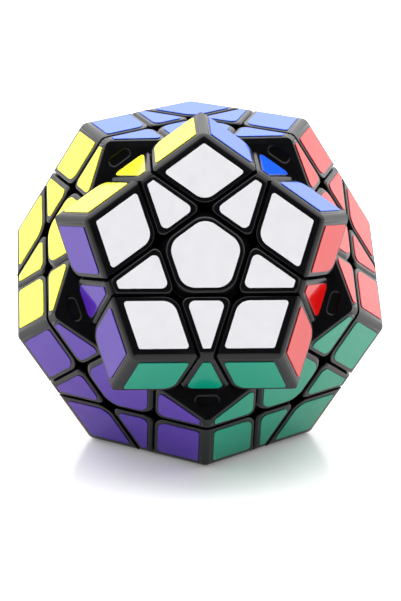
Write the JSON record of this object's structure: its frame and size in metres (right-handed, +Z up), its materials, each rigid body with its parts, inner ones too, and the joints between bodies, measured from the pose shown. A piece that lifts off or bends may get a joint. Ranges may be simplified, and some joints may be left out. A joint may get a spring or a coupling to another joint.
{
  "type": "dodecahedron twisty puzzle",
  "caption": "Black plastic dodecahedral puzzle with coloured stickers; its face layers turn about a central core, and one layer stands part way through a turn.",
  "frame": {"origin": "centre of the sky face, the face that the puzzle stands on", "axes": "+Z up, along the axis of the blue face on top; -Y towards the white face, which leans back and whose layer is part way through a turn; +X to the right of the white face"},
  "size_m": [0.0814, 0.0835, 0.0754],
  "materials": {
    "black_plastic": "satin moulded plastic",
    "core_plastic": "matte moulded plastic",
    "steel": "zinc-plated screws and plain spring wire",
    "sticker_white": "glossy vinyl sticker",
    "sticker_grey": "glossy vinyl sticker",
    "sticker_red": "glossy vinyl sticker",
    "sticker_orange": "glossy vinyl sticker",
    "sticker_yellow": "glossy vinyl sticker",
    "sticker_cream": "glossy vinyl sticker",
    "sticker_green": "glossy vinyl sticker",
    "sticker_lime": "glossy vinyl sticker",
    "sticker_blue": "glossy vinyl sticker",
    "sticker_sky": "glossy vinyl sticker",
    "sticker_purple": "glossy vinyl sticker",
    "sticker_pink": "glossy vinyl sticker"
  },
  "bodies": {
    "core": {"core_with_fixed_centres": "core_plastic", "corner_blue_lime_yellow": "black_plastic", "corner_blue_pink_lime": "black_plastic", "corner_blue_red_pink": "black_plastic", "corner_green_purple_sky": "black_plastic", "corner_pink_lime_grey": "black_plastic", "edge_blue_lime": "black_plastic", "edge_blue_pink": "black_plastic", "edge_blue_red": "black_plastic", "edge_blue_yellow": "black_plastic", "edge_green_purple": "black_plastic", "edge_green_sky": "black_plastic", "edge_grey_sky": "black_plastic", "edge_lime_grey": "black_plastic", "edge_lime_yellow": "black_plastic", "edge_pink_grey": "black_plastic", "edge_pink_lime": "black_plastic", "edge_purple_sky": "black_plastic", "edge_red_green": "black_plastic", "edge_red_pink": "black_plastic", "edge_yellow_purple": "black_plastic", "screw_cream": "steel", "screw_orange": "steel", "screw_white": "steel", "spring_cream": "steel", "spring_orange": "steel", "spring_white": "steel"},
    "white_layer": {"centre_white": "black_plastic", "corner_blue_white_red": "black_plastic", "corner_blue_white_yellow": "black_plastic", "corner_white_green_purple": "black_plastic", "corner_white_red_green": "black_plastic", "corner_white_yellow_purple": "black_plastic", "edge_blue_white": "black_plastic", "edge_white_green": "black_plastic", "edge_white_purple": "black_plastic", "edge_white_red": "black_plastic", "edge_white_yellow": "black_plastic"},
    "cream_layer": {"centre_cream": "black_plastic", "corner_cream_grey_sky": "black_plastic", "corner_green_cream_sky": "black_plastic", "corner_pink_cream_grey": "black_plastic", "corner_red_green_cream": "black_plastic", "corner_red_pink_cream": "black_plastic", "edge_cream_grey": "black_plastic", "edge_cream_sky": "black_plastic", "edge_green_cream": "black_plastic", "edge_pink_cream": "black_plastic", "edge_red_cream": "black_plastic"},
    "orange_layer": {"centre_orange": "black_plastic", "corner_grey_orange_sky": "black_plastic", "corner_lime_grey_orange": "black_plastic", "corner_lime_yellow_orange": "black_plastic", "corner_orange_purple_sky": "black_plastic", "corner_yellow_orange_purple": "black_plastic", "edge_grey_orange": "black_plastic", "edge_lime_orange": "black_plastic", "edge_orange_purple": "black_plastic", "edge_orange_sky": "black_plastic", "edge_yellow_orange": "black_plastic"}
  },
  "joints": [
    {"name": "white_layer_turn", "type": "hinge", "parent": "core", "child": "white_layer", "pos_m": [0, 0, 0.035], "axis": [0, -0.8944, 0.4472], "continuous": true},
    {"name": "cream_layer_turn", "type": "hinge", "parent": "core", "child": "cream_layer", "pos_m": [0, 0, 0.035], "axis": [0.8507, 0.2764, -0.4472], "continuous": true},
    {"name": "orange_layer_turn", "type": "hinge", "parent": "core", "child": "orange_layer", "pos_m": [0, 0, 0.035], "axis": [-0.8507, 0.2764, -0.4472], "continuous": true}
  ]
}
